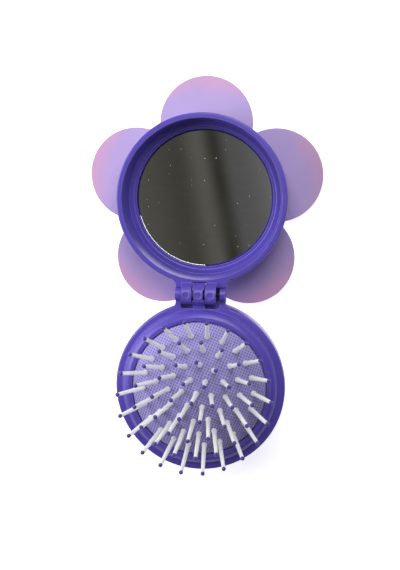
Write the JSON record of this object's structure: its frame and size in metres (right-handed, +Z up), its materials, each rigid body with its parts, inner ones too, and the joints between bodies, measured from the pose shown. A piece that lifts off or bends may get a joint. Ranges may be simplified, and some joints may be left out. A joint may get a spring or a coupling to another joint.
{
  "type": "folding compact hairbrush",
  "caption": "Round folding compact hairbrush: a mirror lid hinged to a base with a domed rubber pad of ball-tipped bristles that is pushed up and down through the back.",
  "frame": {"origin": "on the floor under the middle of the open compact's bounding box", "axes": "+Z up out of the mirror and the brush, +Y from the brush to the mirror, +X to the right"},
  "size_m": [0.0936, 0.1562, 0.0488],
  "materials": {
    "purple_abs": "satin moulded",
    "lilac_abs": "satin moulded",
    "lilac_rubber": "matt, finely dotted",
    "steel": "drawn wire",
    "silvered_glass": "polished",
    "foam_tape": "matt",
    "lilac_pvc": "matt, pink tinted edge",
    "pink_pvc": "matt",
    "purple_pvc": "matt",
    "white_nylon": "smooth",
    "purple_nylon": "smooth"
  },
  "bodies": {
    "base": {"base_ring": "purple_abs", "base_back_cover": "lilac_abs", "pad_clamp_ring": "purple_abs", "brush_pad": "lilac_rubber", "hinge_pin": "steel"},
    "lid": {"lid_shell": "purple_abs", "mirror_glass": "silvered_glass", "mirror_tape": "foam_tape", "ornament_plaque": "lilac_pvc", "ornament_petals": "pink_pvc", "ornament_eye": "purple_pvc"},
    "brush": {"push_plate": "lilac_abs", "thumb_button": "purple_abs", "bristles_centre": "white_nylon", "bristle_tips_centre": "purple_nylon", "bristles_row_1": "white_nylon", "bristle_tips_row_1": "purple_nylon", "bristles_row_2": "white_nylon", "bristle_tips_row_2": "purple_nylon", "bristles_row_3": "white_nylon", "bristle_tips_row_3": "purple_nylon"},
    "outer_bristles": {"bristles_row_4": "white_nylon", "bristle_tips_row_4": "purple_nylon"}
  },
  "joints": [
    {"name": "lid_hinge", "type": "hinge", "parent": "base", "child": "lid", "pos_m": [0, -0.0073, 0.0205], "axis": [1, 0, 0], "range_deg": [0, 180]},
    {"name": "brush_pop", "type": "slide", "parent": "base", "child": "brush", "axis": [0, 0, -1], "range_m": [0, 0.016], "deforming": ["brush_pad"]},
    {"name": "outer_bristles_drop", "type": "slide", "parent": "base", "child": "outer_bristles", "axis": [0, 0, -1], "range_m": [0, 0.0095]}
  ],
  "couplings": [
    {"joint": "brush_pop", "follows": "lid_hinge", "m_per_rad": 0.005092},
    {"joint": "outer_bristles_drop", "follows": "lid_hinge", "m_per_rad": 0.003023}
  ]
}
